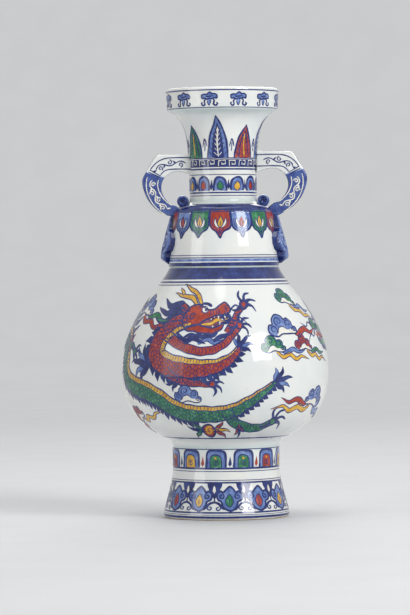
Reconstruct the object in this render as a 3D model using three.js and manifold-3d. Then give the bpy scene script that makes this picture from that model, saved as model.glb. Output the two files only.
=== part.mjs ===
// Doucai porcelain vase with two ruyi handles.
// Millimetres, +Z up, the foot stands on z = 0 and the axis is x = y = 0.
// The front faces -Y and the handles stand out along +X and -X.

import * as THREE from 'three';
import { mergeVertices } from 'three/addons/utils/BufferGeometryUtils.js';
import Module from 'manifold-3d';

const wasm = await Module();
wasm.setup();

// Driving dimensions

const HEIGHT = 300;
// Heights below are written for a vase 300 mm tall, and RISE stretches them all.
const RISE = HEIGHT / 300;
const FACETS = 52;
const BELLY_WALL = 5;
const NECK_WALL = 4.3;
const FLOOR = 6;
const SLIP = 0.3;
const TONGUE = 3;

const Z_CUP = 268 * RISE;
const Z_NECK = 222 * RISE;
const Z_COLLAR = 175 * RISE;
const Z_BELLY = 102 * RISE;
const Z_FOOT = 50.5 * RISE;

const R_NECK = 23.5;
const R_COLLAR = 38.9;
const R_BELLY = 72.8;
const R_WAIST = 37.4;

const STRAP_DEPTH = 14;
const STRAP_EDGE = 2.6;
const CURL_DEPTH = 12;
const Z_TERMINAL = 212 * RISE;
const LOOP_SET = { right: [1.2, 0.8], left: [-1.2, -0.8] };
const TERMINAL_SET = { right: 0.6, left: -0.6 };

// Lines of the profile, each a list of [radius, height] from low to high

function raised(line) {
  return line.map(([r, z]) => [r, z * RISE]);
}

function curve(a, b, c, d, steps) {
  const points = [a, b, c, d].map(([r, z]) => new THREE.Vector2(r, z));
  return new THREE.CubicBezierCurve(...points).getPoints(steps).map((p) => [p.x, p.y]);
}

function inset(line, wall) {
  return line.map(([r, z], i) => {
    const [r0, z0] = line[Math.max(i - 1, 0)];
    const [r1, z1] = line[Math.min(i + 1, line.length - 1)];
    const length = Math.hypot(r1 - r0, z1 - z0);
    return [r - (wall * (z1 - z0)) / length, z + (wall * (r1 - r0)) / length];
  });
}

function at(line, z) {
  const i = line.findIndex((p) => p[1] >= z);
  if (i <= 0) return line[i < 0 ? line.length - 1 : 0][0];
  const [r0, z0] = line[i - 1];
  const [r1, z1] = line[i];
  return r0 + ((r1 - r0) * (z - z0)) / (z1 - z0);
}

function between(line, low, high) {
  const margin = 0.4;
  const inner = line.filter((p) => p[1] > low + margin && p[1] < high - margin);
  return [[at(line, low), low], ...inner, [at(line, high), high]];
}

const FOOT_SIDE = raised([
  [42.0, 0],
  [43.2, 0.5],
  [44.0, 2.0],
  ...curve([43.9, 4.6], [38.1, 23.8], [37.5, 30], [37.3, 38], 6),
  [R_WAIST, 50.5],
]);
const BELLY_LOW = raised([
  [37.6, 50.5],
  [38.0, 52.8],
  [39.1, 54.4],
  ...curve([41.2, 55.6], [55.8, 62.2], [R_BELLY, 74], [R_BELLY, 102], 10),
]);
const BELLY_HIGH = raised(curve([R_BELLY, 102], [R_BELLY, 138], [44.3, 161], [38.4, 175], 10));
const COLLAR_SIDE = raised([
  [37.8, 175],
  [38.6, 176.4],
  ...curve([R_COLLAR, 179], [38.9, 192], [36.6, 202], [35.4, 210], 4),
  ...curve([34.9, 212.4], [34.0, 216.4], [31.6, 218.4], [28.0, 219.2], 4),
  [25.4, 219.9],
  [24.2, 220.9],
  [R_NECK, 222],
]);
const NECK_SIDE = raised([
  [R_NECK, 222],
  [R_NECK, 232],
  [R_NECK, 243],
  ...curve([24.1, 250], [24.2, 257.7], [24.7, 263.5], [25.6, 268], 4),
]);
const CUP_SIDE = raised([
  ...curve([25.6, 268], [27.6, 277.5], [31.7, 281.1], [37.6, 284.4], 6),
  [38.5, 285.1],
  [38.9, 286.6],
  [39.1, 292],
  [39.7, 298.2],
  [39.5, 299.4],
  [38.6, 300],
]);

const FOOT_BORE = [
  ...raised([[37.6, 0], [37.2, 0.8], [37.6, 5]]),
  ...between(inset(FOOT_SIDE, BELLY_WALL), 8 * RISE, 40 * RISE),
  [R_WAIST - BELLY_WALL, Z_FOOT + TONGUE],
];
const BORE = [
  ...between(inset(BELLY_LOW, BELLY_WALL), 65 * RISE, 100 * RISE),
  [R_BELLY - BELLY_WALL, Z_BELLY],
  ...between(inset(BELLY_HIGH, BELLY_WALL), 105 * RISE, 171 * RISE),
  ...raised([
    [33.4, 175],
    [33.7, 179],
    ...curve([33.9, 183], [33.9, 193], [31.6, 203], [30.2, 209], 3),
    [27.6, 213],
    [22.6, 215.6],
    [19.6, 217.4],
    [R_NECK - NECK_WALL, 222],
    [R_NECK - NECK_WALL, 243],
  ]),
  ...between(inset(NECK_SIDE, NECK_WALL), 250 * RISE, 266 * RISE),
  ...between(inset(CUP_SIDE, NECK_WALL), 270 * RISE, 283 * RISE),
  ...raised([[34.5, 289], [35.1, 298], [35.5, 299.4], [36.4, 300]]),
];

// Bodies

function spin(profile) {
  const points = [...profile, profile[0]].map(([r, z]) => new THREE.Vector2(r, z));
  return new THREE.LatheGeometry(points, FACETS).rotateX(Math.PI / 2);
}

// The circle that halves a wall at height z, where a tongue meets its socket.
function splitOf(side, z) {
  return (at(side, z) + at(BORE, z)) / 2;
}

// A thrown section: below it takes the tongue of the section it stands on,
// above it ends in its own tongue. SLIP is the clearance round every tongue.
function section(side, low, high, socket, tongue) {
  const outer = between(side, low, high);
  const top = tongue ? high + TONGUE : high;
  const inner = between(BORE, socket ? low + TONGUE : low, top).reverse();
  const upper = tongue
    ? [[splitOf(side, high) - SLIP / 2, high], [splitOf(side, high) - SLIP / 2, top]]
    : [];
  const lower = socket
    ? [[socket + SLIP / 2, low + TONGUE], [socket + SLIP / 2, low]]
    : [];
  return spin([...outer, ...upper, ...inner, ...lower]);
}

function solidOf(geometry) {
  const bare = geometry.clone();
  bare.deleteAttribute('normal');
  bare.deleteAttribute('uv');
  const welded = mergeVertices(bare, 1e-4);
  return new wasm.Manifold(new wasm.Mesh({
    numProp: 3,
    vertProperties: new Float32Array(welded.attributes.position.array),
    triVerts: new Uint32Array(welded.index.array),
  }));
}

function geometryOf(solid) {
  const mesh = solid.getMesh();
  const geometry = new THREE.BufferGeometry();
  geometry.setAttribute('position', new THREE.BufferAttribute(mesh.vertProperties, 3));
  geometry.setIndex(new THREE.BufferAttribute(mesh.triVerts, 1));
  geometry.computeVertexNormals();
  return geometry;
}

// Neck and collar made full and larger by the slip clearance: the shape that the handles are coped to.
function copeOf(side, low, high) {
  const swollen = inset(between(side, low, high), -SLIP);
  return solidOf(spin([[0, low - 1], [swollen[0][0], low - 1], ...swollen, [0, high + 1]]));
}

const COPE = copeOf([...COLLAR_SIDE, ...NECK_SIDE.slice(1)], Z_COLLAR + 0.5, Z_CUP)
  .add(solidOf(new THREE.CylinderGeometry(R_NECK + SLIP, R_NECK + SLIP, 50, FACETS)
    .rotateX(Math.PI / 2)
    .translate(0, 0, 240 * RISE)));

// Outlines are [x, z] in the plane of the handles, or [y, z] for the terminal.
function plate(outline, depth, edge) {
  const shape = new THREE.Shape(outline.map(([x, z]) => new THREE.Vector2(x, z)));
  return new THREE.ExtrudeGeometry(shape, {
    depth: depth - 2 * edge,
    bevelThickness: edge,
    bevelSize: edge,
    bevelOffset: -edge,
    bevelSegments: edge > 0 ? 3 : 0,
    bevelEnabled: edge > 0,
  })
    .translate(0, 0, edge - depth / 2)
    .rotateX(Math.PI / 2);
}

function smooth(points, steps) {
  const line = new THREE.SplineCurve(points.map(([x, z]) => new THREE.Vector2(x, z)));
  return line.getPoints(steps).map((p) => [p.x, p.y]);
}

const LOOP = raised([
  [18, 255.2],
  ...smooth([[45.4, 255.2], [48.4, 253.9], [51.6, 248.8], [56.6, 240.6], [57.8, 236.6]], 9),
  ...smooth([[56.9, 230.6], [53.4, 222.8], [47.6, 216.4], [41.6, 212.6], [38.0, 211.6]], 9),
  [32, 211.0],
  [30, 216.0],
  ...smooth([[34.6, 219.4], [38.8, 221.2], [42.8, 226.0], [44.5, 232.0], [42.6, 238.4], [37.4, 242.4]], 12),
  ...smooth([[32.0, 243.2], [27.4, 242.2], [18, 240.0]], 4),
]);

const CURL = { x: 28.3, z: 221.6 * RISE, r: 4.5 };

// Outer face of the ruyi terminal: its radius at each height, from under the toe to the stem.
const TERMINAL_FACE = raised([
  [39.4, 177.2],
  [41.8, 179.0],
  [43.2, 180.0],
  [44.4, 181.0],
  [44.9, 182.4],
  [44.9, 184.0],
  [44.2, 188.4],
  [42.7, 194.0],
  [41.2, 200.0],
  [38.4, 210.0],
  [37.9, 212],
]);

// Half outline of the ruyi head seen from the side, [across, height]: stem, side lobe, notch, toe.
const RUYI_HALF = raised([
  [6.4, 212],
  [7.2, 207.0],
  [9.6, 202.4],
  [14.0, 199.6],
  [17.2, 195.6],
  [17.6, 191.0],
  [15.4, 187.0],
  [11.8, 185.4],
  [10.8, 182.0],
  [7.4, 179.2],
  [3.6, 177.6],
]);

function mirrored(half) {
  return [...half, [0, half.at(-1)[1]], ...half.map(([y, z]) => [-y, z]).reverse()].reverse();
}

function handleLoop(side) {
  const [out, up] = LOOP_SET[side];
  const strap = solidOf(plate(LOOP, STRAP_DEPTH, STRAP_EDGE).translate(out, 0, up));
  const above = new THREE.BoxGeometry(80, 40, 80).translate(40, 0, Z_TERMINAL + 40);
  return strap.intersect(solidOf(above)).subtract(COPE);
}

function ruyiTerminal(side) {
  const out = TERMINAL_SET[side];
  const face = TERMINAL_FACE.map(([r, z]) => [r + out, z]);
  const ring = solidOf(spin([[30, face[0][1]], ...face, [30, Z_TERMINAL]]));
  const outline = plate(mirrored(RUYI_HALF), 60, 0).rotateZ(Math.PI / 2).translate(45, 0, 0);
  return ring.intersect(solidOf(outline)).subtract(COPE);
}

function handleCurl() {
  const steps = 20;
  const outline = Array.from({ length: steps }, (_, i) => {
    const angle = (-2 * Math.PI * i) / steps;
    return [CURL.x + CURL.r * Math.cos(angle), CURL.z + CURL.r * Math.sin(angle)];
  });
  return solidOf(plate(outline, CURL_DEPTH, 1.2)).subtract(COPE);
}

function toSide(solid, side) {
  return geometryOf(side === 'left' ? solid.rotate([0, 0, 180]) : solid);
}

// The assembly

const vase = new THREE.Group();
vase.name = 'doucai_vase';

function addNode(name, geometry, color, roughness) {
  const material = new THREE.MeshStandardMaterial({ color, roughness, metalness: 0 });
  const mesh = new THREE.Mesh(geometry, material);
  mesh.name = name;
  vase.add(mesh);
}

const WHITE = 0xe9ecef;
const BLUE = 0x33437f;

addNode('mouth_cup', section(CUP_SIDE, Z_CUP, HEIGHT, splitOf(NECK_SIDE, Z_CUP), false), WHITE, 0.12);
addNode('neck', section(NECK_SIDE, Z_NECK, Z_CUP, splitOf(COLLAR_SIDE, Z_NECK), true), WHITE, 0.12);
addNode('collar', section(COLLAR_SIDE, Z_COLLAR, Z_NECK, splitOf(BELLY_HIGH, Z_COLLAR), true), WHITE, 0.12);
addNode('belly_upper', section(BELLY_HIGH, Z_BELLY, Z_COLLAR, splitOf(BELLY_LOW, Z_BELLY), true), WHITE, 0.12);

// Lower belly: its floor closes the vase, its underside is trimmed back to take the tongue of the foot.
const FOOT_SPLIT = R_WAIST - BELLY_WALL / 2;
const BELLY_TONGUE = splitOf(BELLY_LOW, Z_BELLY) - SLIP / 2;
const FLOOR_TOP = Z_FOOT + TONGUE + FLOOR;
addNode('belly_lower', spin([
  [0, Z_FOOT + TONGUE],
  [FOOT_SPLIT + SLIP / 2, Z_FOOT + TONGUE],
  [FOOT_SPLIT + SLIP / 2, Z_FOOT],
  ...BELLY_LOW,
  [BELLY_TONGUE, Z_BELLY],
  [BELLY_TONGUE, Z_BELLY + TONGUE],
  ...between(BORE, 65 * RISE, Z_BELLY + TONGUE).reverse(),
  [41.6, FLOOR_TOP + 2.4],
  [37.0, FLOOR_TOP + 0.6],
  [31.0, FLOOR_TOP],
  [0, FLOOR_TOP],
]), WHITE, 0.12);

addNode('foot_ring', spin([
  ...FOOT_SIDE,
  [FOOT_SPLIT - SLIP / 2, Z_FOOT],
  [FOOT_SPLIT - SLIP / 2, Z_FOOT + TONGUE],
  ...[...FOOT_BORE].reverse(),
]), WHITE, 0.15);

for (const side of ['left', 'right']) {
  addNode(`handle_loop_${side}`, toSide(handleLoop(side), side), BLUE, 0.15);
  addNode(`ruyi_terminal_${side}`, toSide(ruyiTerminal(side), side), BLUE, 0.15);
  addNode(`handle_curl_${side}`, toSide(handleCurl(), side), BLUE, 0.15);
}

export default vase;
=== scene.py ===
"""Doucai porcelain vase with two ruyi handles, dressed for looks. Shapes are written in millimetres."""

import bisect
import math

import bmesh
import bpy
from mathutils import Matrix, Vector
from mathutils.geometry import tessellate_polygon


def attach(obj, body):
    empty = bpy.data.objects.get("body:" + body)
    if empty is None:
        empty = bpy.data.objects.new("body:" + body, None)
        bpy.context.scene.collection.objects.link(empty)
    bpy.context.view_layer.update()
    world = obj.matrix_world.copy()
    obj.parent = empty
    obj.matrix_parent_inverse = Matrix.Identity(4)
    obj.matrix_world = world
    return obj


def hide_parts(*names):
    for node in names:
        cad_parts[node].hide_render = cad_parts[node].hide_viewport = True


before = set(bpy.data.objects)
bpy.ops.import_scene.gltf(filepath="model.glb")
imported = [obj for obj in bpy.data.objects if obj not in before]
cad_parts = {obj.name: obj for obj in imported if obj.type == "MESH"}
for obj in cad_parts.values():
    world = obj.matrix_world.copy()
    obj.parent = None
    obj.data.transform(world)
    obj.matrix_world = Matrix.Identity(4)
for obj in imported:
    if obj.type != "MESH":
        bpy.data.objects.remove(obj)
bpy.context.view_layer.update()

MM = 0.001


# Foot: a tall spreading porcelain ring, thrown on the wheel, trimmed and hollow below. It is glazed inside and
# out and wiped clean at the resting rim, where the bare biscuit shows. Its top is luted under the belly.

def bezier(a, b, c, d, steps):
    """Points (radius, height) of a cubic curve through a and d."""
    line = []
    for i in range(steps + 1):
        t = i / steps
        w = ((1 - t) ** 3, 3 * (1 - t) ** 2 * t, 3 * (1 - t) * t * t, t ** 3)
        line.append(tuple(sum(k * p[n] for k, p in zip(w, (a, b, c, d))) for n in (0, 1)))
    return line


def inset(line, wall):
    """The inner face of a wall of this thickness, for an outer line that runs upwards."""
    inner = []
    for i, (r, z) in enumerate(line):
        r0, z0 = line[max(i - 1, 0)]
        r1, z1 = line[min(i + 1, len(line) - 1)]
        length = math.hypot(r1 - r0, z1 - z0)
        inner.append((r - wall * (z1 - z0) / length, z + wall * (r1 - r0) / length))
    return inner


def at(line, z):
    """The radius of a line at height z."""
    for (r0, z0), (r1, z1) in zip(line, line[1:]):
        if z0 <= z <= z1 and z1 > z0:
            return r0 + (r1 - r0) * (z - z0) / (z1 - z0)
    return line[0][0] if z < line[0][1] else line[-1][0]


def between(line, low, high):
    """The part of a line between two heights."""
    inner = [p for p in line if low + 0.3 < p[1] < high - 0.3]
    return [(at(line, low), low), *inner, (at(line, high), high)]


def deselect():
    if bpy.context.object and bpy.context.object.mode != "OBJECT":
        bpy.ops.object.mode_set(mode="OBJECT")
    bpy.ops.object.select_all(action="DESELECT")


def draw(name, points):
    """Draw a closed outline of (x, z) point by point in the plane of the front, and stay in edit mode."""
    deselect()
    bpy.ops.mesh.primitive_plane_add(size=MM)
    piece = bpy.context.object
    piece.name = piece.data.name = name
    bpy.ops.object.mode_set(mode="EDIT")
    bpy.ops.mesh.merge(type="CENTER")
    x, z = points[0]
    bpy.ops.transform.translate(value=(x * MM, 0, z * MM))
    for x1, z1 in [*points[1:], points[0]]:
        move = ((x1 - x) * MM, 0, (z1 - z) * MM)
        bpy.ops.mesh.extrude_vertices_move(TRANSFORM_OT_translate={"value": move})
        x, z = x1, z1
    bpy.ops.mesh.select_all(action="SELECT")
    bpy.ops.mesh.remove_doubles(threshold=MM / 1000)
    return piece


def thrown(name, profile, steps=192):
    """Spin a closed profile of (radius, height) round the axis."""
    piece = draw(name, profile)
    bpy.ops.mesh.spin(steps=steps, angle=math.tau, center=(0, 0, 0), axis=(0, 0, 1))
    bpy.ops.mesh.select_all(action="SELECT")
    bpy.ops.mesh.remove_doubles(threshold=MM / 1000)
    bpy.ops.mesh.normals_make_consistent(inside=False)
    bpy.ops.object.mode_set(mode="OBJECT")
    bpy.ops.object.shade_smooth_by_angle(angle=math.radians(32))
    return piece


def hex_colour(text):
    """Linear colour of an sRGB hex value."""
    parts = [int(text[i:i + 2], 16) / 255 for i in (1, 3, 5)]
    return tuple(c / 12.92 if c <= 0.04045 else ((c + 0.055) / 1.055) ** 2.4 for c in parts) + (1,)


def add(tree, kind, settings=(), links=(), out=0):
    """Add a node to a material or the world and return one of its outputs. Settings go to its properties, its
    sockets or the stops of its ramp, and links join its sockets to the outputs of other nodes."""
    node = tree.node_tree.nodes.new("ShaderNode" + kind)
    for key, value in dict(settings).items():
        if key == "stops":
            elements = node.color_ramp.elements
            while len(elements) < len(value):
                elements.new(0.5)
            for element, (place, colour) in zip(elements, value):
                element.position, element.color = place, hex_colour(colour)
        elif isinstance(key, str) and hasattr(node, key):
            setattr(node, key, value)
        else:
            node.inputs[key].default_value = value
    for key, source in dict(links).items():
        tree.node_tree.links.new(source, node.inputs[key])
    return node.outputs[out] if node.outputs else None


def new_material(name):
    material = bpy.data.materials.new(name)
    material.use_nodes = True
    material.node_tree.nodes.clear()
    return material


def glaze_relief(material, place):
    """Low waves left by the wheel, about 22 mm long, and the fine orange peel of fired glaze, about 1.6 mm."""
    waves = add(material, "TexNoise", {"Scale": 1 / (22 * MM), "Detail": 1}, {"Vector": place})
    peel = add(material, "TexNoise", {"Scale": 1 / (1.6 * MM), "Detail": 2}, {"Vector": place})
    low = add(material, "Bump", {"Strength": 0.35, "Distance": 0.3 * MM}, {"Height": waves})
    return add(material, "Bump", {"Strength": 0.2, "Distance": 0.02 * MM}, {"Height": peel, "Normal": low})


# High-fired porcelain under a clear glaze with a breath of blue: white, hard and glassy. The glaze pools a
# little greener in the corners of the profile, a few pinhole specks of iron show, and the resting rim is bare.
GLAZE = {"IOR": 1.52, "Coat Weight": 0.25, "Coat Roughness": 0.04}
POOLS, POOL_WIDTH, POOL_FULL = (50.0, 175.2, 221.5, 284.0), 3.2, 0.75
SPECK_CELL, SPECK_RARE = 7.5, 0.8
BARE, GLAZED = 1.0, 1.9


def porcelain():
    material = new_material("clear_glazed_porcelain")
    place = add(material, "TexCoord", out="Object")
    height = add(material, "SeparateXYZ", links={0: place}, out=2)
    tone = add(material, "TexNoise", {"Scale": 1 / (38 * MM), "Detail": 3, "Roughness": 0.55}, {"Vector": place})
    tone = add(material, "ValToRGB", {"stops": ((0.3, "#e3e8e8"), (0.5, "#eaedea"), (0.72, "#f0efe8"))}, {0: tone})
    pooled = None
    for z in POOLS:
        away = add(material, "Math", {"operation": "SUBTRACT", 1: z * MM}, {0: height})
        away = add(material, "Math", {"operation": "ABSOLUTE"}, {0: away})
        near = add(material, "MapRange", {"From Min": 0.2 * MM, "From Max": POOL_WIDTH * MM, "To Min": POOL_FULL,
                                          "To Max": 0}, {0: away})
        pooled = add(material, "Math", {"operation": "MAXIMUM"}, {0: near, 1: pooled}) if pooled else near
    tone = add(material, "Mix", {"data_type": "RGBA", 7: hex_colour("#c9d8d6")}, {0: pooled, 6: tone}, 2)
    specks = {"Scale": 1 / (SPECK_CELL * MM), "Randomness": 1}
    dot = add(material, "TexVoronoi", specks, {"Vector": place}, "Distance")
    dot = add(material, "MapRange", {"From Min": 0.028, "From Max": 0.05, "To Min": 0.8, "To Max": 0}, {0: dot})
    chance = add(material, "TexVoronoi", specks, {"Vector": place}, "Color")
    chance = add(material, "SeparateColor", links={0: chance})
    chance = add(material, "Math", {"operation": "GREATER_THAN", 1: SPECK_RARE}, {0: chance})
    dot = add(material, "Math", {"operation": "MULTIPLY"}, {0: dot, 1: chance})
    tone = add(material, "Mix", {"data_type": "RGBA", 7: hex_colour("#8c7a63")}, {0: dot, 6: tone}, 2)
    waver = add(material, "TexNoise", {"Scale": 1 / (9 * MM)}, {"Vector": place})
    edge = add(material, "Math", {"operation": "MULTIPLY_ADD", 1: 1.2 * MM}, {0: waver, 2: height})
    bare = add(material, "MapRange", {"From Min": BARE * MM, "From Max": GLAZED * MM, "To Min": 1, "To Max": 0},
               {0: edge})
    grit = add(material, "TexNoise", {"Scale": 1 / (1.1 * MM), "Detail": 4, "Roughness": 0.7}, {"Vector": place})
    biscuit = add(material, "ValToRGB", {"stops": ((0.3, "#b99c7c"), (0.7, "#dccbb2"))}, {0: grit})
    tone = add(material, "Mix", {"data_type": "RGBA"}, {0: bare, 6: tone, 7: biscuit}, 2)
    shine = add(material, "TexNoise", {"Scale": 1 / (30 * MM)}, {"Vector": place})
    shine = add(material, "MapRange", {"From Min": 0.3, "From Max": 0.7, "To Min": 0.07, "To Max": 0.12},
                {0: shine})
    shine = add(material, "Math", {"operation": "MULTIPLY_ADD", 1: 0.6}, {0: bare, 2: shine})
    shader = add(material, "BsdfPrincipled", GLAZE,
                 {"Base Color": tone, "Roughness": shine, "Normal": glaze_relief(material, place)})
    add(material, "OutputMaterial", links={0: shader})
    return material


PORCELAIN = porcelain()


def finish(piece, material, slot, *nodes):
    """Give a piece its material and let it stand for its CAD nodes. The slot is not used."""
    piece.data.materials.clear()
    piece.data.materials.append(material)
    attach(piece, "root")
    if nodes:
        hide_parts(*nodes)


Z_FOOT, R_FOOT = 50.5, 37.4
BELLY_WALL = 5
TONGUE, SLIP = 3, 0.3


def tongue(split, z):
    """The inner half of a wall, standing up from its rim; it is split at this radius."""
    return (split - SLIP / 2, z), (split - SLIP / 2, z + TONGUE)


def seat(split, z):
    """The outer half of the wall above, cut away inside for the tongue and its slip."""
    return (split + SLIP / 2, z + TONGUE), (split + SLIP / 2, z)


def section(node, profile, steps=192):
    finish(thrown(f"{node}_glazed", profile, steps), PORCELAIN, "white_glaze", node)


FOOT_SIDE = [
    (42, 0), (42.7, 0.12), (43.3, 0.5), (43.75, 1.1), (44, 2), (44.03, 3.2),
    *bezier((43.9, 4.6), (38.1, 23.8), (37.5, 30), (37.3, 38), 24),
    (37.3, 41), (37.3, 44), (37.32, 47), (R_FOOT, 49.3), (R_FOOT, Z_FOOT),
]
FOOT_BORE = [
    (38, 0), (37.5, 0.3), (37.2, 0.9), (37.3, 2.5), (37.6, 5), *between(inset(FOOT_SIDE, BELLY_WALL), 8, 40),
    (R_FOOT - BELLY_WALL, Z_FOOT + TONGUE),
]
FOOT_JOINT = R_FOOT - BELLY_WALL / 2, Z_FOOT
section("foot_ring", [*FOOT_SIDE, *tongue(*FOOT_JOINT), *reversed(FOOT_BORE)])


# Belly: two thrown bowls of porcelain, the lower one with the floor of the vase, luted rim to rim at the widest
# place and scraped flush before glazing. A wall of about 5 mm, glazed inside too.

Z_BELLY, R_BELLY, Z_COLLAR = 102, 72.8, 175
BELLY_LOW = [
    *bezier((37.6, Z_FOOT), (37.7, 52.6), (38.9, 54.4), (41.2, 55.6), 10)[:-1],
    *bezier((41.2, 55.6), (55.8, 62.2), (R_BELLY, 74), (R_BELLY, Z_BELLY), 48),
]
BELLY_HIGH = bezier((R_BELLY, Z_BELLY), (R_BELLY, 138), (44.3, 161), (38.4, Z_COLLAR), 56)
FLOOR_TOP = Z_FOOT + TONGUE + 6
LOW_BORE = [
    (0, FLOOR_TOP), (31, FLOOR_TOP), (37, FLOOR_TOP + 0.6), (41.6, FLOOR_TOP + 2.4),
    *between(inset(BELLY_LOW, BELLY_WALL), 65, 100), (R_BELLY - BELLY_WALL, Z_BELLY),
    (R_BELLY - BELLY_WALL, Z_BELLY + TONGUE),
]
HIGH_BORE = [
    (R_BELLY - BELLY_WALL, Z_BELLY + TONGUE), *between(inset(BELLY_HIGH, BELLY_WALL), 105.5, 171),
    (33.4, Z_COLLAR), (33.6, Z_COLLAR + TONGUE),
]
BELLY_JOINT = R_BELLY - BELLY_WALL / 2, Z_BELLY
COLLAR_JOINT = (38.4 + 33.4) / 2, Z_COLLAR
section("belly_lower", [(0, Z_FOOT + TONGUE), *seat(*FOOT_JOINT), *BELLY_LOW, *tongue(*BELLY_JOINT),
                        *reversed(LOW_BORE)])
section("belly_upper", [*BELLY_HIGH, *tongue(*COLLAR_JOINT), *reversed(HIGH_BORE), *seat(*BELLY_JOINT)])


# Collar: a thrown drum of porcelain with a rounded shoulder, luted on the belly. A fine groove is left where its
# lower edge meets the belly, and the glaze pools in it.

Z_NECK, R_NECK, R_COLLAR = 222, 23.5, 38.9
NECK_WALL = 4.3
COLLAR_SIDE = [
    (37.8, Z_COLLAR), (38.3, 175.3), (38.6, 175.9), (38.8, 177), (38.88, 178),
    *bezier((R_COLLAR, 179), (38.9, 192), (36.6, 202), (35.4, 210), 22),
    *bezier((34.9, 212.4), (34, 216.4), (31.6, 218.4), (28, 219.2), 12),
    *bezier((27, 219.4), (25.2, 219.8), (R_NECK + 0.2, 220.4), (R_NECK, Z_NECK), 8),
]
COLLAR_BORE = [
    (33.6, Z_COLLAR + TONGUE), (33.8, 180), *bezier((33.9, 183), (33.9, 193), (31.6, 203), (30.2, 209), 8),
    (27.6, 213), (22.6, 215.6), (19.6, 217.4), (R_NECK - NECK_WALL, Z_NECK), (R_NECK - NECK_WALL, Z_NECK + TONGUE),
]
NECK_JOINT = R_NECK - NECK_WALL / 2, Z_NECK
section("collar", [*COLLAR_SIDE, *tongue(*NECK_JOINT), *reversed(COLLAR_BORE), *seat(*COLLAR_JOINT)])


# Neck: a slender thrown tube of porcelain that starts to spread at its top, luted on the collar.

Z_CUP, HEIGHT = 268, 300
NECK_SIDE = [
    (R_NECK, Z_NECK), (R_NECK, 225), (R_NECK, 230), (R_NECK, 236), (R_NECK, 243), (23.75, 246.5),
    *bezier((24.1, 250), (24.2, 257.7), (24.7, 263.5), (25.6, Z_CUP), 14),
]
CUP_SIDE = [
    *bezier((25.6, Z_CUP), (27.6, 277.5), (31.7, 281.1), (37.6, 284.4), 24),
    (38.2, 284.7), (38.6, 285.2), (38.85, 286), (38.95, 287.5), (39.1, 292), (39.4, 295.5), (39.65, 297.6),
    (39.7, 298.4), (39.6, 299.1), (39.3, 299.6), (38.9, 299.9), (38.4, HEIGHT),
]
NECK_TOP = 266.5
CUP_BORE = [
    (at(inset(NECK_SIDE, NECK_WALL), NECK_TOP), NECK_TOP), *between(inset(CUP_SIDE, NECK_WALL), 270, 283),
    (34, 286), (34.5, 289), (34.8, 293), (35, 297), (35.2, 298.6), (35.6, 299.5), (36.1, 299.9), (36.7, HEIGHT),
]
NECK_BORE = [
    (R_NECK - NECK_WALL, Z_NECK + TONGUE), (R_NECK - NECK_WALL, 243),
    *between(inset(NECK_SIDE, NECK_WALL), 250, NECK_TOP)[:-1], *between(CUP_BORE, NECK_TOP, Z_CUP + TONGUE),
]
CUP_JOINT = (25.6 + at(CUP_BORE, Z_CUP)) / 2, Z_CUP
section("neck", [*NECK_SIDE, *tongue(*CUP_JOINT), *reversed(NECK_BORE), *seat(*NECK_JOINT)], 128)


# Mouth: a shallow thrown cup of porcelain with an upright wall and a soft lip, luted on the neck.

section("mouth_cup", [*CUP_SIDE, *reversed(between(CUP_BORE, Z_CUP + TONGUE, HEIGHT)), *seat(*CUP_JOINT)], 160)


# Handle loops: flat straps of porcelain clay, bent while soft, luted with slip to the neck above and to the
# shoulder of the collar below, and softened with a wet brush. The upright limb is laid in with cobalt before
# glazing and the top bar is left white. They start as flat outlines, and all the painting as flat shapes kept
# in a Drawing.

def flowing(points, gap=1.0, closed=False):
    """A smooth line through given points, with a point about every gap millimetres."""
    count = len(points)
    line = []
    for i in range(count if closed else count - 1):
        if closed:
            p0, p1, p2, p3 = (points[(i + k) % count] for k in (-1, 0, 1, 2))
        else:
            p0, p1, p2, p3 = points[max(i - 1, 0)], points[i], points[i + 1], points[min(i + 2, count - 1)]
        steps = max(2, round(math.dist(p1, p2) / gap))
        for k in range(steps):
            t = k / steps
            line.append(tuple(
                0.5 * (2 * b + (c - a) * t + (2 * a - 5 * b + 4 * c - d) * t * t
                       + (3 * b - a - 3 * c + d) * t ** 3)
                for a, b, c, d in zip(p0, p1, p2, p3)))
    return line if closed else [*line, tuple(points[-1])]


def mirrored(half):
    """A closed outline from its right half, listed from one end of its axis to the other."""
    return [*half, *[(-x, y) for x, y in reversed(half) if abs(x) > 0.01]]


def circle(x, y, radius, count=14):
    return [(x + radius * math.cos(math.tau * i / count), y + radius * math.sin(math.tau * i / count))
            for i in range(count)]


def spiral(x, y, radius, turns=1.3, start=0.0, flip=1, steps=20, core=0.18):
    """A curl that winds in from its rim."""
    line = []
    for i in range(steps + 1):
        t = i / steps
        angle = math.radians(start) + flip * math.tau * turns * t
        reach = radius * (1 - (1 - core) * t)
        line.append((x + reach * math.cos(angle), y + reach * math.sin(angle)))
    return line


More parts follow.
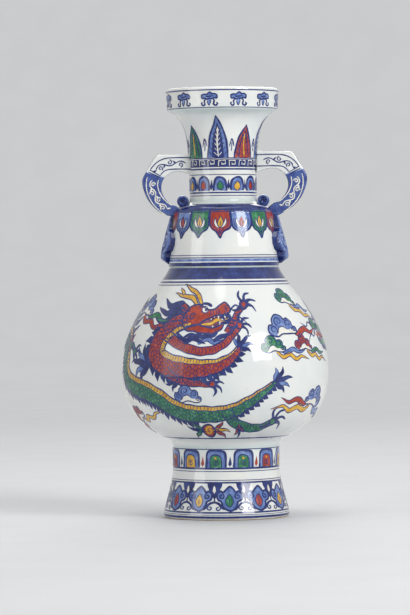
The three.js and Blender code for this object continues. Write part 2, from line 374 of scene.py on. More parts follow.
class Drawing:
    """Flat shapes in millimetres, kept by coat until they are laid on a surface as closed films."""

    def __init__(self, name, cell=2.0, press=0.0):
        self.name, self.cell, self.press = name, cell, press
        self.coats, self.shift, self.count = {}, 0.0, 0

    def stretch(self, y):
        """Drawn millimetres for each real one across the drawing."""
        return 1.0

    def place(self, x, y, lift):
        """The place of a drawn point when it is raised by lift; flat here, and turned by the drawings below."""
        return x, -lift, y

    def put(self, points, x, y=0.0, turn=0.0, size=1.0, flip=1):
        """Points drawn about (0, 0), turned by degrees, scaled, mirrored when flip is -1, and moved."""
        c, s = math.cos(math.radians(turn)) * size, math.sin(math.radians(turn)) * size
        wide = self.stretch(y + sum(px * s + py * c for px, py in points) / len(points))
        return [(x + flip * wide * (px * c - py * s), y + px * s + py * c) for px, py in points]

    def keep(self, coat, points, faces, cut=True):
        """Keep faces in a coat, cut at every cell so that they can follow a curved surface."""
        mesh = bmesh.new()
        verts = [mesh.verts.new((x + self.shift, y, 0)) for x, y in points]
        for face in faces:
            loop = [points[i] for i in face]
            area = sum(ax * by - bx * ay for (ax, ay), (bx, by) in zip(loop, loop[1:] + loop[:1]))
            if abs(area) > 1e-6 and len(set(face)) == len(face):
                mesh.faces.new([verts[i] for i in (face if area > 0 else face[::-1])])
        for axis, normal in enumerate(((1, 0, 0), (0, 1, 0)) if cut else ()):
            low, high = (f(v.co[axis] for v in mesh.verts) / self.cell for f in (min, max))
            for k in range(math.ceil(low), math.floor(high) + 1):
                bmesh.ops.bisect_plane(mesh, geom=[*mesh.verts, *mesh.edges, *mesh.faces], dist=1e-5,
                                       plane_co=[c * k * self.cell for c in normal], plane_no=normal)
        mesh.verts.index_update()
        flat = [(v.co.x, v.co.y) for v in mesh.verts]
        tops = [[v.index for v in face.verts] for face in mesh.faces]
        rims = [(edge.vert.index, edge.link_loop_next.vert.index)
                for face in mesh.faces for edge in face.loops if len(edge.edge.link_faces) == 1]
        mesh.free()
        self.coats.setdefault(coat, []).append((flat, tops, rims))

    def shape(self, coat, outline):
        """Fill an outline."""
        self.keep(coat, outline, tessellate_polygon([[Vector((x, y, 0)) for x, y in outline]]))

    def beside(self, line, i, distance):
        """The point this many millimetres to the left of the i-th point of a line."""
        (ax, ay), (bx, by) = line[max(i - 1, 0)], line[min(i + 1, len(line) - 1)]
        x, y = line[i]
        wide = self.stretch(y)
        dx, dy = (bx - ax) / wide, by - ay
        length = math.hypot(dx, dy) or 1.0
        return x - dy / length * distance * wide, y + dx / length * distance

    def band(self, coat, line, right, left, closed=False):
        """Paint between two distances from a line, each given for every point."""
        count = len(line)
        ring = [line[-1], *line, line[0]] if closed else line
        start = 1 if closed else 0
        sides = []
        for i in range(count):
            sides += [self.beside(ring, i + start, right[i]), self.beside(ring, i + start, left[i])]
        faces = [(2 * i, 2 * i + 1, (2 * i + 3) % (2 * count), (2 * i + 2) % (2 * count))
                 for i in range(count if closed else count - 1)]
        self.keep(coat, sides, faces, max(b - a for a, b in zip(right, left)) > self.cell)

    def stroke(self, coat, points, width, taper=(0.12, 0.12), gap=0.9, closed=False, smooth=True):
        """One stroke of the brush, thinning over a share of its length at either end."""
        line = flowing(points, gap, closed) if smooth else points
        run = [0.0]
        for a, b in zip(line, line[1:]):
            run.append(run[-1] + math.dist(a, b))
        halves = []
        self.count += 1
        for along in run:
            t = along / (run[-1] or 1.0)
            thin = 1.0 if closed else min(1.0, math.sqrt(max(t, 0.004) / max(taper[0], 0.001)),
                                          math.sqrt(max(1 - t, 0.004) / max(taper[1], 0.001)))
            press = 0.0 if closed else self.press * math.sin(self.count + along / 1.9)
            halves.append(width / 2 * thin * (1 + press))
        self.band(coat, line, [-h for h in halves], halves, closed)

    def film(self, coat, low, high):
        """Lay a coat on the surface as closed shells that reach from low to high."""
        verts, faces = [], []
        for n, (flat, tops, rims) in enumerate(self.coats.pop(coat)):
            start, under = len(verts), len(verts) + len(flat)
            raised = high + 0.003 * (n % 4)
            verts += [self.place(x, y, raised) for x, y in flat]
            verts += [self.place(x, y, low) for x, y in flat]
            for loop in tops:
                faces.append([start + i for i in loop])
                faces.append([under + i for i in reversed(loop)])
            faces += [[start + a, under + a, under + b, start + b] for a, b in rims]
        data = bpy.data.meshes.new(f"{self.name}_{coat}")
        data.from_pydata([[c * MM for c in v] for v in verts], [], faces)
        piece = bpy.data.objects.new(data.name, data)
        bpy.context.scene.collection.objects.link(piece)
        return piece


def choose(*pieces):
    """Select pieces and make the first one active."""
    deselect()
    for piece in pieces:
        piece.select_set(True)
    bpy.context.view_layer.objects.active = pieces[0]
    return pieces[0]


def turn_out():
    """Turn every face of the active mesh outwards."""
    bpy.ops.object.mode_set(mode="EDIT")
    bpy.ops.mesh.select_all(action="SELECT")
    bpy.ops.mesh.normals_make_consistent(inside=False)
    bpy.ops.object.mode_set(mode="OBJECT")


def slab(name, outline, depth):
    """Fill a drawn outline of (x, z) and push it out to a depth centred on y = 0."""
    piece = draw(name, outline)
    bpy.ops.transform.translate(value=(0, -depth / 2 * MM, 0))
    bpy.ops.mesh.edge_face_add()
    bpy.ops.mesh.extrude_region_move(TRANSFORM_OT_translate={"value": (0, depth * MM, 0)})
    turn_out()
    return piece


def soften(piece, bevel, voxel, passes):
    """Round the edges, make one skin of all the parts and smooth it as a wet brush does."""
    choose(piece)
    for kind, settings in (
            ("BEVEL", {"width": bevel * MM, "segments": 3, "limit_method": "ANGLE",
                       "angle_limit": math.radians(50)}),
            ("REMESH", {"mode": "VOXEL", "voxel_size": voxel * MM}),
            ("SMOOTH", {"factor": 0.6, "iterations": passes})):
        if kind == "BEVEL" and not bevel:
            continue
        bpy.ops.object.modifier_add(type=kind)
        modifier = piece.modifiers[-1]
        for key, value in settings.items():
            setattr(modifier, key, value)
        bpy.ops.object.modifier_apply(modifier=modifier.name)
    bpy.ops.object.shade_smooth()


def tint(piece, amount):
    """Record how full the cobalt is at every point of a piece, from amount(x, y, z) in millimetres."""
    values = [amount(*(c / MM for c in v.co)) for v in piece.data.vertices]
    piece.data.attributes.new("cobalt", "FLOAT", "POINT").data.foreach_set("value", values)


def fade(value, low, high):
    t = min(max((value - low) / (high - low), 0.0), 1.0)
    return t * t * (3 - 2 * t)


# Clear-glazed porcelain whose cobalt wash follows the "cobalt" attribute: thin and grey blue on the edges, where
# the glaze draws off, and nearly black where the brush was full. Noise of 4 mm and 0.7 mm heaps it up.
def brushed_porcelain():
    material = new_material("cobalt_washed_porcelain")
    place = add(material, "TexCoord", out="Object")
    full = add(material, "Attribute", {"attribute_name": "cobalt"}, out="Fac")
    heaps = add(material, "TexNoise", {"Scale": 1 / (4 * MM), "Detail": 4}, {"Vector": place})
    grain = add(material, "TexNoise", {"Scale": 1 / (0.7 * MM), "Detail": 2}, {"Vector": place})
    uneven = add(material, "Math", {"operation": "ADD"}, {0: heaps, 1: grain})
    uneven = add(material, "MapRange", {"From Min": 0.7, "From Max": 1.3, "To Min": 0.72, "To Max": 1.2},
                 {0: uneven})
    full = add(material, "Math", {"operation": "MULTIPLY"}, {0: full, 1: uneven})
    tone = add(material, "ValToRGB", {"stops": ((0, "#e9ece9"), (0.16, "#c3cfe3"), (0.42, "#5f79b5"),
                                                (0.7, "#2c4189"), (0.95, "#16225c"))}, {0: full})
    shader = add(material, "BsdfPrincipled", {**GLAZE, "Roughness": 0.1},
                 {"Base Color": tone, "Normal": glaze_relief(material, place)})
    add(material, "OutputMaterial", links={0: shader})
    return material


BRUSHED = brushed_porcelain()
LOOP_OUTER = [(26, 255.2), (36, 255.2), (45.4, 255.2), (48.4, 253.9), (51.6, 248.8), (56.6, 240.6), (57.8, 236.6),
              (56.9, 230.6), (53.4, 222.8), (47.6, 216.4), (41.6, 212.6)]
LOOP_INNER = [(27.4, 242.2), (32, 243.2), (37.4, 242.4), (42.6, 238.4), (44.5, 232), (42.8, 226), (38.8, 221.2),
              (34.6, 219.4)]
LOOP_MIDDLE = [(21.6, 248.8), (34, 249), (42, 248.2), (47.4, 244.2), (50.4, 238), (50.8, 231.6), (48, 224.4),
               (42.8, 218.6), (37.4, 215.2)]
LOOP_FOOT = 211.2
LOOP_DEPTH = 14
LOOP_SET = {"right": (1.2, 0.8), "left": (-1.2, -0.8)}
LIMB, LIMB_SLOPE, BRUSH_WAVER = 241.2, 0.30, 0.35
ARRIS, ARRIS_THIN = (5.4, 6.8), 0.35
HALF_TURN = Matrix.Rotation(math.pi, 4, "Z")


def to_side(piece, side):
    if side == "left":
        piece.data.transform(HALF_TURN)
    return piece


def washed_limb(x, y, z):
    """Full cobalt on the limb, thin on its arrises, with a slanting edge where the top bar is left white."""
    brim = LIMB + LIMB_SLOPE * (x - 50) + BRUSH_WAVER * math.sin(1.3 * y)
    return fade(z, brim + 0.7, brim - 0.7) * (1.0 - ARRIS_THIN * fade(abs(y), *ARRIS))


for side, (out, up) in LOOP_SET.items():
    foot = LOOP_FOOT - up
    loop = slab(f"handle_loop_{side}_glazed", [
        (22.2, 256), (23.4, 255.5), *flowing(LOOP_OUTER, 1.2), (38.4, foot + 0.2), (34, foot), (31.4, foot + 0.6),
        (30.6, 216.4), *reversed(flowing(LOOP_INNER, 1.2)), (24.4, 241.2), (22.2, 239.9)], LOOP_DEPTH)
    soften(loop, 2.2, 0.62, 4)
    tint(loop, washed_limb)
    loop.data.transform(Matrix.Translation((out * MM, 0, up * MM)))
    finish(to_side(loop, side), BRUSHED, "cobalt_glaze", f"handle_loop_{side}")


# Curls: the inner end of each strap is rolled up against the neck as a small volute, of the same clay and cobalt.

CURL_X, CURL_Z, CURL_R, CURL_DEPTH = 28.3, 221.6, 4.5, 12
for side in LOOP_SET:
    curl = slab(f"handle_curl_{side}_glazed", circle(CURL_X, CURL_Z, CURL_R - 0.35, 24), CURL_DEPTH - 2.4)
    rolled = Drawing("curl")
    rolled.stroke("roll", spiral(CURL_X, CURL_Z, CURL_R - 0.75, 1.6, 200, -1, 40, 0.16), 1.5, (0.03, 0.3),
                  smooth=False)
    choose(curl, rolled.film("roll", -CURL_DEPTH / 2, CURL_DEPTH / 2))
    bpy.ops.object.join()
    soften(curl, 0, 0.36, 2)
    tint(curl, lambda x, y, z: 0.5 + 0.4 * fade(math.hypot(x - CURL_X, z - CURL_Z), 4.2, 1.5))
    finish(to_side(curl, side), BRUSHED, "cobalt_glaze", f"handle_curl_{side}")


# Ruyi terminals: flat ruyi heads pressed in a mould, with a rim, a centre rib and two volutes in relief, and laid
# on the collar below each handle with slip. Cobalt pools in the sunk field and thins over the relief.

RUYI_HALF = [(0, 177.4), (3.6, 177.6), (7.4, 179.2), (10.8, 182.4), (11.8, 185.4), (15.4, 187), (17.6, 191),
             (17.2, 195.6), (14, 199.6), (9.6, 202.4), (7.2, 207), (6.4, 211.8), (0, 211.8)]
TERMINAL_FACE = [(39.4, 177.2), (41.8, 179), (43.2, 180), (44.4, 181), (44.9, 182.4), (44.9, 184), (44.2, 188.4),
                 (42.7, 194), (41.2, 200), (38.4, 210), (37.9, 212)]
TERMINAL_SET = {"right": 0.6, "left": -0.6}
MOULD, FIELD, LUTED = 6.0, 4.3, 0.4


def sunk(x, y, z):
    """Cobalt full in the sunk field and thinner on the relief."""
    return 0.95 - 0.5 * fade(-y, MOULD / 2 - 2.2, MOULD / 2 - 0.5)


for side, out in TERMINAL_SET.items():
    outline = mirrored(RUYI_HALF)
    terminal = slab(f"ruyi_terminal_{side}_glazed", outline, MOULD)
    terminal.data.transform(Matrix.Scale(FIELD / MOULD, 4, (0, 1, 0)))
    terminal.data.transform(Matrix.Translation((0, (MOULD - FIELD) / 2 * MM, 0)))
    relief = Drawing("relief")
    rim = [(x * 0.90, 194 + (z - 194) * 0.94) for x, z in outline]
    relief.stroke("raised", rim, 1.9, closed=True, smooth=False)
    relief.stroke("raised", [(0, 179), (0, 186), (0, 196), (0, 205), (0, 211)], 3.4, (0.02, 0.02))
    for flip in (-1, 1):
        volute = spiral(flip * 9.2, 193, 4.8, 1.35, 90 + 90 * flip, -flip, 40, 0.2)
        relief.stroke("raised", volute, 1.5, (0.02, 0.3), smooth=False)
        relief.stroke("raised", [(flip * 5.6, 182.6), (flip * 3.2, 184.2), (0, 184.8)], 1.4)
        relief.stroke("raised", [(flip * 4.6, 208), (flip * 4.2, 203), (flip * 6.4, 200.2)], 1.2)
    choose(terminal, relief.film("raised", -MOULD / 2, MOULD / 2))
    bpy.ops.object.join()
    soften(terminal, 0, 0.42, 3)
    tint(terminal, sunk)
    for vertex in terminal.data.vertices:
        # The flat plaque is laid round the collar: its back goes to the clay and its face to TERMINAL_FACE.
        across, t, z = (c / MM for c in vertex.co)
        back = at(COLLAR_SIDE, z) - LUTED
        reach = back + (MOULD / 2 - t) / MOULD * (at(TERMINAL_FACE, z) + out - back)
        vertex.co = (math.sqrt(reach * reach - across * across) * MM, across * MM, z * MM)
    choose(terminal)
    turn_out()
    finish(to_side(terminal, side), BRUSHED, "cobalt_glaze", f"ruyi_terminal_{side}")


# Painting of the foot: outlines and washes of cobalt under the glaze, filled with enamels fired over it. Lotus
# lappets stand round its waist and ruyi heads on its spread, between thin double lines.

WAVE, SWAY, RISE = 3.2, 0.28, 0.2
SLOPE_STEP = 0.4


class Painting(Drawing):
    """A drawing on a turned side: x runs round the vase, measured at the radius girth, and y is the height."""

    def __init__(self, name, side, girth, cell, true_widths=False):
        super().__init__(name, cell, 0.12)
        self.girth, self.true_widths, self.waves = girth, true_widths, round(girth / WAVE)
        self.low, self.pitch = side[0][1], 0.25
        count = int((side[-1][1] - self.low) / self.pitch) + 1
        self.radii = [at(side, self.low + self.pitch * i) for i in range(count)]

    def radius(self, y):
        place = min(max((y - self.low) / self.pitch, 0), len(self.radii) - 1.001)
        i = int(place)
        return self.radii[i] + (self.radii[i + 1] - self.radii[i]) * (place - i)

    def stretch(self, y):
        return self.girth / self.radius(y) if self.true_widths else 1.0

    def place(self, x, y, lift):
        """Set by hand: a slow waver of SWAY across and RISE up makes each repeat of a motif a little different."""
        turns = self.waves * x / self.girth
        angle = (x + SWAY * math.sin(turns + 0.31 * y)) / self.girth
        y += RISE * math.sin(1.7 + 2 * turns + 0.12 * y)
        rise = self.radius(y + SLOPE_STEP) - self.radius(y - SLOPE_STEP)
        length = math.hypot(rise, 2 * SLOPE_STEP)
        reach = self.radius(y) + lift * 2 * SLOPE_STEP / length
        return reach * math.sin(angle), -reach * math.cos(angle), y - lift * rise / length

    def round_the_vase(self, count, phase=0.0):
        """The number of each of count places from phase degrees on, its spot and the spot half-way to the next."""
        for i in range(count):
            x = self.girth * math.radians((phase + 360 * i / count + 180) % 360 - 180)
            yield i, Spot(self, x), Spot(self, x + self.girth * math.radians(180 / count))


class Spot:
    """A place on a drawing, where motifs drawn about (0, 0) are painted turned, scaled and mirrored."""

    def __init__(self, art, x, y=0.0, turn=0.0, size=1.0, flip=1):
        self.art, self.size, self.setting = art, size, (x, y, turn, size, flip)

    def put(self, points):
        return self.art.put(points, *self.setting)

    def fill(self, coat, outline, gap=0.0):
        """Fill an outline, made smooth with a point at every gap when one is given."""
        outline = self.put(outline)
        self.art.shape(coat, flowing(outline, gap, True) if gap else outline)

    def line(self, coat, points, width, taper=(0.12, 0.12), **how):
        self.art.stroke(coat, self.put(points), width * self.size, taper, **how)


# Underglaze cobalt: a blue oxide painted on the raw clay and sunk in the glaze. It gathers in darker heaps where
# the brush was full and thins to a grey blue, and the clear glaze over it is as glossy as on the white.
def cobalt(name, light, middle, dark, patch):
    material = new_material(name)
    place = add(material, "TexCoord", out="Object")
    heaps = add(material, "TexNoise", {"Scale": 1 / (patch * MM), "Detail": 4, "Roughness": 0.6},
                {"Vector": place})
    grain = add(material, "TexNoise", {"Scale": 1 / (0.8 * MM), "Detail": 3, "Roughness": 0.6}, {"Vector": place})
    blend = add(material, "Mix", {0: 0.3}, {2: heaps, 3: grain})
    tone = add(material, "ValToRGB", {"stops": ((0.34, dark), (0.5, middle), (0.66, light))}, {0: blend})
    shader = add(material, "BsdfPrincipled", {**GLAZE, "Roughness": 0.1},
                 {"Base Color": tone, "Normal": glaze_relief(material, place)})
    add(material, "OutputMaterial", links={0: shader})
    return material


# Overglaze enamels: coloured lead glass ground fine, painted on the fired glaze and fused in a low fire. They
# stand a little proud of the glaze, pool darker at places and keep the streaks of the brush. Iron red is thin
# and nearly matt, the others are glassy.
def enamel(name, light, middle, dark, roughness):
    material = new_material(name)
    place = add(material, "TexCoord", out="Object")
    combed = add(material, "Mapping", {"Scale": (1, 1, 0.35)}, {"Vector": place})
    streaks = add(material, "TexNoise", {"Scale": 1 / (1.2 * MM), "Detail": 3, "Roughness": 0.65},
                  {"Vector": combed})
    pools = add(material, "TexNoise", {"Scale": 1 / (4 * MM), "Detail": 3}, {"Vector": place})
    blend = add(material, "Mix", {0: 0.45}, {2: pools, 3: streaks})
    tone = add(material, "ValToRGB", {"stops": ((0.35, dark), (0.5, middle), (0.65, light))}, {0: blend})
    grain = add(material, "TexNoise", {"Scale": 1 / (0.9 * MM), "Detail": 3}, {"Vector": place})
    relief = add(material, "Bump", {"Strength": 0.3, "Distance": 0.03 * MM},
                 {"Height": grain, "Normal": glaze_relief(material, place)})
    shader = add(material, "BsdfPrincipled", {"Roughness": roughness, "IOR": 1.55},
                 {"Base Color": tone, "Normal": relief})
    add(material, "OutputMaterial", links={0: shader})
    return material


# Every coat with the height in millimetres at which it lies, so that later coats cover earlier ones.
INK = cobalt("underglaze_cobalt_line", "#35498a", "#202f72", "#121c52", 3.0)
COATS = {
    "wash": (0.04, cobalt("underglaze_cobalt_wash", "#93a8d2", "#6682be", "#4560a5", 5.0), "cobalt_painting"),
    "deep": (0.055, cobalt("underglaze_cobalt_ground", "#30468a", "#1d2c6e", "#111a49", 6.0), "cobalt_painting"),
    "plum": (0.07, enamel("manganese_aubergine_enamel", "#8f5a78", "#6c3a58", "#4c2440", 0.15),
             "aubergine_enamel"),
    "lime": (0.085, enamel("yellow_green_enamel", "#b9c560", "#98a83f", "#76892d", 0.15), "green_enamel"),
    "green": (0.1, enamel("copper_green_enamel", "#5aa372", "#2f7d50", "#1b5e40", 0.14), "green_enamel"),
    "red": (0.115, enamel("iron_red_enamel", "#c05238", "#a33624", "#7f2318", 0.34), "iron_red_enamel"),
    "yellow": (0.13, enamel("antimony_yellow_enamel", "#edc85a", "#dcab37", "#bd8722", 0.16), "yellow_enamel"),
    "white": (0.145, enamel("white_enamel", "#f2f1ea", "#eceae0", "#dedccf", 0.2), "white_glaze"),
    "ink": (0.16, INK, "cobalt_painting"),
    "detail": (0.18, INK, "cobalt_painting"),
}
SUNK = 0.05


def fire(*drawings):
    for drawing in drawings:
        for coat, (lift, material, slot) in COATS.items():
            if coat in drawing.coats:
                piece = choose(drawing.film(coat, -SUNK, lift))
                bpy.ops.object.shade_smooth_by_angle(angle=math.radians(40))
                finish(piece, material, slot)


def rings(name, side, heights, coat, steps=192):
    """Painted rings: each is a thin band spun round the vase between two heights."""
    lift, material, slot = COATS[coat]
    pieces = []
    for low, high in heights:
        rim = between(side, low, high)
        pieces.append(thrown(name, [*inset(rim, -lift), *reversed(inset(rim, SUNK))], steps))
    piece = choose(*pieces)
    if len(pieces) > 1:
        bpy.ops.object.join()
    finish(piece, material, slot)


BLUNT, ROUND_END = (0.01, 0.01), (0.02, 0.02)
foot_art = Painting("foot", FOOT_SIDE, 40.0, 2.0)
LAPPET = mirrored([(-7.6, 36.4), (-7.3, 42), (-6.6, 46), (-4.6, 47.8), (0, 48.2)])
PETAL = mirrored([(-4.7, 36.4), (-4.5, 41.2), (-3.5, 43.8), (-2, 44.8), (0, 45)])
for i, spot, gap in foot_art.round_the_vase(12, -11):
    # Lotus lappet: a heavy arch, a pale wash inside it, a coloured petal with a budding sprout, and a tip between.
    spot.line("ink", LAPPET, 1.7, BLUNT)
    spot.fill("wash", [*[(px * 0.9, py - 0.4) for px, py in LAPPET],
                       *[(px * 1.12, py + 0.3) for px, py in reversed(PETAL)]])
    spot.fill(("green", "green", "red", "yellow")[i % 4], PETAL)
    spot.line("ink", PETAL, 0.9, BLUNT)
    spot.line("detail", [(0, 37), (0, 41.6)], 0.6)
    for side in (-1, 1):
        for low, reach in ((37.6, 2.7), (39.3, 1.8)):
            sprout = [(0, low), (side * 0.6 * reach, low + 0.9), (side * reach, low + 2.8)]
            spot.line("detail", sprout, 0.5, (0.05, 0.3))
    spot.fill("red" if i % 4 == 3 else "yellow", circle(0, 42.7, 0.85, 10))
    gap.fill(("deep", "red")[i % 2], mirrored([(0, 36.6), (1.3, 38.6), (0.6, 41.5), (0, 44)]))

RUYI_HEAD = mirrored([(0, 6.8), (2.8, 7.6), (4.9, 9.8), (5.6, 12.8), (7.4, 13.8), (8.6, 16.2), (8, 18.9),
                      (5.9, 20), (4.1, 19.2), (2.2, 21.6), (0, 23.4)])
DROP = mirrored([(0, 9.4), (1.9, 10.8), (2.7, 13.2), (1.8, 15.6), (0, 18.2)])
TASSEL = mirrored([(0, 14.4), (1.5, 16.4), (2.2, 18.8), (4, 20.6), (5.2, 23.2), (5.4, 25.6), (0, 25.6)])
for i, spot, gap in foot_art.round_the_vase(12, 3):
    # Ruyi head with two volutes, standing on a rolling stem, and a tassel that hangs between it and the next.
    spot.fill("wash", RUYI_HEAD, 1.0)
    spot.line("ink", RUYI_HEAD, 1.35, closed=True)
    for side in (-1, 1):
        spot.line("ink", spiral(side * 5.3, 16.4, 2.1, 1.3, 90, side, 16), 0.9)
        stem = [(side * 3.4, 7.4), (side * 5.6, 9), (side * 7.6, 11.6), (side * 10.5, 12.9)]
        spot.line("ink", stem, 1.5, (0.02, 0))
        spot.line("ink", spiral(side * 7.9, 8.6, 1.8, 1.1, 140 if side > 0 else 40, side, 14), 0.8)
    spot.fill(("green", "red", "yellow")[i % 3], DROP, 0.8)
    spot.line("detail", DROP, 0.6, closed=True)
    spot.line("detail", [(0, 10.8), (0, 15)], 0.5)
    gap.fill("deep", TASSEL)
    gap.line("ink", [(0, 12.4), (0, 15.2)], 1.1, (0.6, 0))
    gap.fill("white", mirrored([(0, 18.6), (1.2, 20.4), (0.8, 22.6), (0, 24)]))
fire(foot_art)
rings("foot_lines", FOOT_SIDE, ((48.7, 49.3), (35, 36.4), (33.4, 33.9), (27.3, 27.8), (25.4, 26.5), (4.9, 6),
                                (3.7, 4.1), (1.5, 3)), "ink")


# Painting of the belly: an iron red dragon curls up in front with its head turned back, and a green one runs round
# below it, among clouds and a flaming pearl. Both have fins and manes in cobalt, and the scene is painted again on
# the back.

class Spine:
    """A smooth line on a drawing that finds places by the real distance along it and beside it."""

    def __init__(self, art, points, gap=1.2):
        self.art, self.line = art, flowing(points, gap)
        self.run = [0.0]
        for (ax, ay), (bx, by) in zip(self.line, self.line[1:]):
            self.run.append(self.run[-1] + math.hypot((bx - ax) / art.stretch(ay), by - ay))
        self.length = self.run[-1]

    def at(self, along, aside=0.0):
        i = min(max(bisect.bisect(self.run, along), 1), len(self.line) - 1)
        t = (along - self.run[i - 1]) / (self.run[i] - self.run[i - 1])
        (ax, ay), (bx, by) = self.art.beside(self.line, i - 1, aside), self.art.beside(self.line, i, aside)
        return ax + (bx - ax) * t, ay + (by - ay) * t

    def edge(self, distances):
        """The line drawn beside this one at a distance given for every point."""
        return [self.art.beside(self.line, i, d) for i, d in enumerate(distances)]


def share(values, t):
    """The value at a share t of an evenly spaced list."""
    place = min(max(t, 0.0), 0.9999) * (len(values) - 1)
    i = int(place)
    return values[i] + (values[i + 1] - values[i]) * (place - i)


def ribbon(art, points, width, colour, line=0.55):
    """A tapering ribbon of colour between two thin lines, for flames, manes and the tails of clouds."""
    spine = Spine(art, points, 0.9)
    half = [width / 2 * share((0.6, 1.0, 0.95, 0.6, 0.03), along / spine.length) for along in spine.run]
    art.band(colour, spine.line, [-h for h in half], half)
    for sign in (-1, 1):
        art.stroke("ink", spine.edge([sign * h for h in half]), line, (0.04, 0.25), smooth=False)


PLATE = 0.45
SCALE_ROW, SCALE_WIDTH, SCALE_ARC = 2.35, 3.0, (0, 1.3, 1.8, 1.3, 0)
FIN_PITCH = 3.9


def body(art, points, halves, skin, fin_height, bare=(0, 0)):
    """A scaled body, with a plated belly on the left of its line and a row of fins on the right. No fin is
    painted where x lies between the two values of bare."""
    spine = Spine(art, points)
    half = [share(halves, along / spine.length) for along in spine.run]
    right, plate = [-h for h in half], [PLATE * h for h in half]
    art.band(skin, spine.line, right, plate)
    art.band("yellow", spine.line, plate, half)
    for edge, width in ((half, 0.85), (right, 0.85), (plate, 0.5)):
        art.stroke("ink", spine.edge(edge), width, ROUND_END, smooth=False)
    along, row = 2.0, 0
    while along < spine.length - 3:
        h = share(halves, along / spine.length)
        seam = [spine.at(along + ahead, out * h) for ahead, out in ((0, 0.5), (0.9, 0.75), (0.4, 1))]
        art.stroke("detail", seam, 0.4, ROUND_END, 1.2)
        count = max(1, round((1 + PLATE) * h / SCALE_WIDTH))
        reach = (1 + PLATE) / 2 * h / count
        for j in range(count + row % 2):
            centre = -PLATE * h + 2 * reach * (j + (0.5, 0.0)[row % 2])
            asides = [-min(max(centre + t * reach, -PLATE * h), h) for t in (-1, -0.6, 0, 0.6, 1)]
            scale = [spine.at(along + ahead, aside) for ahead, aside in zip(SCALE_ARC, asides)]
            art.stroke("detail", scale, 0.42, (0.1, 0.1), 1.0)
        along += SCALE_ROW
        row += 1
    along, row = 3.0, 0
    while along < spine.length - 5:
        h = share(halves, along / spine.length)
        tall = fin_height * (0.45 + 0.55 * h / max(halves)) * (1.0, 0.8)[row % 2]
        flick = [spine.at(along + ahead, -(h + up * tall))
                 for ahead, up in ((0, 0), (0.9, 0.55), (3.6, 1), (3.5, 0.5), (4.0, 0))]
        if not bare[0] < flick[0][0] < bare[1]:
            art.shape("deep", flick)
            art.stroke("ink", flick, 0.55, ROUND_END, smooth=False)
        along += FIN_PITCH
        row += 1


FLAME = ((-0.6, 0), (2.6, -0.7), (5.6, 0.3), (8.6, 0.4), (11.2, 2.6))


def flames(art, x, y, size, turn, colours, count=4, spread=22):
    """Curling tongues of flame that leave one point side by side."""
    for k in range(count):
        aside = k - (count - 1) / 2
        curl = 1 if aside > 0 else -1
        reach = 1.25 - 0.2 * abs(aside)
        flame = art.put([(px * reach, py * curl) for px, py in FLAME], x, y, turn + aside * spread, size)
        ribbon(art, flame, 2.9 * size, colours[k % len(colours)], 0.5)


LEG_ROW, LEG_TAPER = 2.3, 0.42
TALON = [(1.4, -0.2), (3.8, 1), (6.4, 0.9), (8.8, -1.3)]


def leg(art, points, width, skin, claw_turn, fire_turn, flame, size=1.0, tuft=0.85):
    """A scaled leg with a tuft of flames at its elbow, and a foot of four talons in front and one behind."""
    spine = Spine(art, points, 1.0)
    half = [width * (1 - LEG_TAPER * along / spine.length) / 2 for along in spine.run]
    if flame:
        flames(art, *spine.at(0.35 * spine.length), tuft * size, fire_turn, flame, 3)
    art.band(skin, spine.line, [-h for h in half], half)
    for sign in (-1, 1):
        art.stroke("ink", spine.edge([sign * h for h in half]), 0.8, ROUND_END, smooth=False)
    for k in range(1, int(spine.length / LEG_ROW)):
        along = LEG_ROW * k
        h = width * (1 - LEG_TAPER * LEG_ROW * k / spine.length) / 2
        row = [spine.at(along, -0.8 * h), spine.at(along + 1.2, 0), spine.at(along, 0.8 * h)]
        art.stroke("detail", row, 0.42, (0.1, 0.1))
    x, y = spine.line[-1]
    palm = art.put(circle(0, 0, 2.5 * size), x, y)
    art.shape(skin, palm)
    art.stroke("ink", palm, 0.8, closed=True)
    for tilt in (-66, -24, 20, 64, 168):
        Spot(art, x, y, claw_turn + tilt, size).line("ink", TALON, 2.1, (0.02, 0.75))


SKULL = [(-6, -3), (-8, 3), (-6, 8), (-2, 11), (3, 11.5), (6, 9.2), (10, 7.6), (14, 7.6), (16.5, 10), (20, 11.5),
         (23, 9.5), (24, 6.5), (22.5, 4.2), (19, 3.6), (15, 3.2), (10, 2), (6, 0.2), (3, -1.6)]
JAW = [(-6, -3), (3, -1.6), (6, -3), (10, -4.2), (15, -4.6), (19, -2.8), (20.5, -1.2), (20.6, -3.4), (18, -6.6),
       (13, -8.4), (7, -8), (1, -6.4), (-4, -5.4)]
GAPE = [(3.5, -1.5), (6, 0), (10, 1.8), (15, 3), (18.6, 3.3), (19.2, -0.6), (18.2, -2.6), (15, -4.3),
        (10, -3.9), (6, -2.8)]
TONGUE_OUT = [(5, -2.2), (11, -1.8), (16, 0.2), (20, -0.6), (24.5, 1.4)]
MANE = [[(-5, 8.5), (-12, 13), (-19, 12), (-27, 18)], [(-6.5, 6.5), (-14, 9.5), (-22, 7.5), (-31, 12.5)],
        [(-7.5, 3), (-16, 4.5), (-24, 2), (-33, 6)], [(-7.5, 0), (-15, -0.5), (-23, -3), (-31, -1)],
        [(-6.5, -3), (-13, -5), (-20, -8), (-28, -7.5)]]
BEARD = [[(16.5, -6.4), (14.5, -9.6), (9.5, -10.4), (5.5, -13)],
         [(12, -7.6), (8.5, -10), (3.5, -9.8), (-1.5, -12.2)], [(6, -7.2), (2, -9), (-3, -8.2), (-8, -10.6)]]
HORNS = [[(1, 11), (-3.5, 16.5), (-10, 18), (-19, 21)], [(3.5, 11.5), (0.5, 18), (-5, 22), (-12, 26.5)]]
WHISKERS = [[(22, 5.4), (27, 9), (32, 6), (38, 9.5)], [(21, 3.8), (27, -1), (31, 0.5), (37, -5)]]
